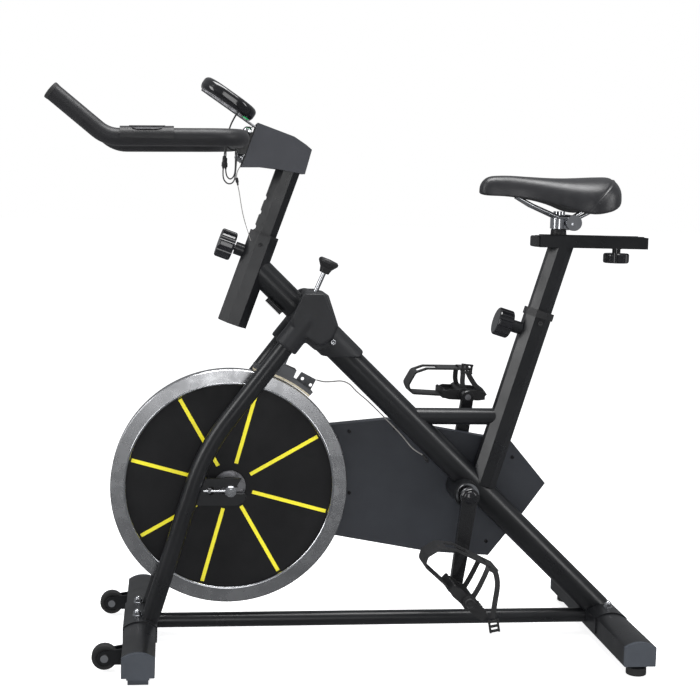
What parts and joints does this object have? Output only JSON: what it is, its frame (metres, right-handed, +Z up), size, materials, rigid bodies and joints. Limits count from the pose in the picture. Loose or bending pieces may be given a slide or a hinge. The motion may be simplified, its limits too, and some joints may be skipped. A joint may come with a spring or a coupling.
{
  "type": "spin bike",
  "caption": "Indoor cycling bike with an open flywheel, fixed chain drive, felt pad brake, height-adjustable bars and seat, caged pedals and a small console.",
  "frame": {"origin": "on the floor, under the middle of the bike's length and width", "axes": "+Z up; -X is the front (the rider faces -X); -Y is the rider's left"},
  "size_m": [1.1185, 0.508, 1.0604],
  "materials": {
    "frame_paint": "satin black",
    "cover_plastic": "dark slate",
    "joint_plastic": "textured black",
    "cap_plastic": "blue-grey",
    "black_plastic": "fine grain",
    "gloss_black": "polished",
    "crank_paint": "gloss black",
    "bright_steel": "polished",
    "wheel_steel": "turned rim, dark disc",
    "raw_steel": "plain",
    "bearing_steel": "ground",
    "chain_steel": "oiled",
    "wheel_rubber": "matt",
    "foot_rubber": "matt",
    "foam": "foam",
    "sensor_plastic": "satin",
    "button_orange": "satin",
    "pad_parts": "felt in a dark carrier",
    "saddle_leather": "soft grain",
    "wire_black": "satin"
  },
  "bodies": {
    "frame": {"front_stabilizer": "frame_paint", "rear_stabilizer": "frame_paint", "stabilizer_end_caps": "cap_plastic", "foot_plates": "frame_paint", "stabilizer_bolts": "bright_steel", "main_tube": "frame_paint", "head_tube": "frame_paint", "seat_tube": "frame_paint", "cross_tube": "frame_paint", "base_tube": "frame_paint", "fork_blade_left": "frame_paint", "fork_blade_right": "frame_paint", "tube_collars": "black_plastic", "joint_covers": "joint_plastic", "drive_cover_inner": "cover_plastic", "drive_cover_outer": "cover_plastic", "cover_screws": "bright_steel", "drive_chain": "chain_steel", "flywheel_axle": "bearing_steel", "axle_hardware": "bright_steel", "bottom_bracket_bearings": "bearing_steel", "speed_sensor_wire": "wire_black"},
    "wheel": {"flywheel": "wheel_steel", "flywheel_hub": "raw_steel", "flywheel_bearings": "bearing_steel", "flywheel_sprocket": "chain_steel"},
    "cranks": {"crank_spindle": "raw_steel", "crank_arm_left": "crank_paint", "crank_arm_right": "crank_paint", "chainring": "chain_steel", "pedal_spindles": "raw_steel"},
    "left_pedal": {"pedal_left": "crank_paint", "toe_clip_left": "black_plastic"},
    "right_pedal": {"pedal_right": "crank_paint", "toe_clip_right": "black_plastic"},
    "bars": {"handlebar_post": "frame_paint", "stem_cover": "black_plastic", "handlebar": "frame_paint", "handlebar_grips": "foam", "pulse_sensors": "sensor_plastic", "console_case": "gloss_black", "console_bracket": "frame_paint", "console_wire_left": "wire_black", "console_wire_right": "wire_black"},
    "button": {"console_button": "button_orange"},
    "seat_mast": {"seat_post": "frame_paint"},
    "seat_carriage": {"seat_slider": "raw_steel", "saddle_post": "bright_steel"},
    "seat": {"saddle": "saddle_leather", "saddle_rails": "bright_steel"},
    "slider_clamp": {"slider_knob": "black_plastic"},
    "head_pin": {"head_knob": "black_plastic"},
    "seat_pin": {"seat_knob": "black_plastic"},
    "brake": {"brake_rod": "bright_steel", "brake_pad": "pad_parts"},
    "brake_handle": {"brake_knob": "gloss_black"},
    "left_roller": {"transport_wheel_left": "wheel_rubber"},
    "right_roller": {"transport_wheel_right": "wheel_rubber"},
    "left_foot": {"levelling_foot_left": "foot_rubber"},
    "right_foot": {"levelling_foot_right": "foot_rubber"}
  },
  "joints": [
    {"name": "flywheel_spin", "type": "hinge", "parent": "frame", "child": "wheel", "pos_m": [-0.23225, 0, 0.3015], "axis": [0, 1, 0], "continuous": true},
    {"name": "crank_spin", "type": "hinge", "parent": "frame", "child": "cranks", "pos_m": [0.21725, 0, 0.2935], "axis": [0, 1, 0], "continuous": true},
    {"name": "left_pedal_spin", "type": "hinge", "parent": "cranks", "child": "left_pedal", "pos_m": [0.19594, -0.155, 0.12484], "axis": [0, 1, 0], "continuous": true},
    {"name": "right_pedal_spin", "type": "hinge", "parent": "cranks", "child": "right_pedal", "pos_m": [0.23856, 0.155, 0.46216], "axis": [0, 1, 0], "continuous": true},
    {"name": "handlebar_height", "type": "slide", "parent": "frame", "child": "bars", "axis": [0.3272, 0, 0.9449], "range_m": [-0.07, 0.05]},
    {"name": "button_press", "type": "slide", "parent": "bars", "child": "button", "axis": [-0.5519, 0, -0.8339], "range_m": [0, 0.0016], "stiffness_N_per_m": 400, "springref_m": -0.001},
    {"name": "seat_height", "type": "slide", "parent": "frame", "child": "seat_mast", "axis": [0.2857, 0, 0.9583], "range_m": [-0.1, 0.06]},
    {"name": "seat_reach", "type": "slide", "parent": "seat_mast", "child": "seat_carriage", "axis": [1, 0, 0], "range_m": [-0.016, 0.033]},
    {"name": "seat_tilt", "type": "hinge", "parent": "seat_carriage", "child": "seat", "pos_m": [0.41025, 0, 0.81], "axis": [0, 1, 0], "range_deg": [-12, 12]},
    {"name": "slider_clamp_turn", "type": "hinge", "parent": "seat_carriage", "child": "slider_clamp", "pos_m": [0.50375, 0, 0.76], "axis": [0, 0, 1], "range_deg": [-180, 180]},
    {"name": "head_pin_pull", "type": "slide", "parent": "frame", "child": "head_pin", "axis": [-0.9449, 0, 0.3272], "range_m": [0, 0.01], "stiffness_N_per_m": 1500, "springref_m": -0.004},
    {"name": "seat_pin_pull", "type": "slide", "parent": "frame", "child": "seat_pin", "axis": [-0.9583, 0, 0.2857], "range_m": [0, 0.01], "stiffness_N_per_m": 1500, "springref_m": -0.004},
    {"name": "brake_press", "type": "slide", "parent": "frame", "child": "brake", "axis": [-0.3875, 0, -0.9219], "range_m": [0, 0.002], "stiffness_N_per_m": 6000, "springref_m": -0.003},
    {"name": "brake_screw", "type": "hinge", "parent": "brake", "child": "brake_handle", "pos_m": [-0.06174, 0, 0.70712], "axis": [0.3875, 0, 0.9219], "range_deg": [-360, 360]},
    {"name": "left_roller_spin", "type": "hinge", "parent": "frame", "child": "left_roller", "pos_m": [-0.45675, -0.168, 0.0274], "axis": [0, 1, 0], "continuous": true},
    {"name": "right_roller_spin", "type": "hinge", "parent": "frame", "child": "right_roller", "pos_m": [-0.45675, 0.168, 0.0274], "axis": [0, 1, 0], "continuous": true},
    {"name": "left_foot_turn", "type": "hinge", "parent": "frame", "child": "left_foot", "pos_m": [0.50275, -0.232, 0.01], "axis": [0, 0, 1], "range_deg": [-360, 360]},
    {"name": "right_foot_turn", "type": "hinge", "parent": "frame", "child": "right_foot", "pos_m": [0.50275, 0.232, 0.01], "axis": [0, 0, 1], "range_deg": [-360, 360]}
  ],
  "couplings": [
    {"joint": "crank_spin", "follows": "flywheel_spin", "ratio": 0.36364}
  ]
}
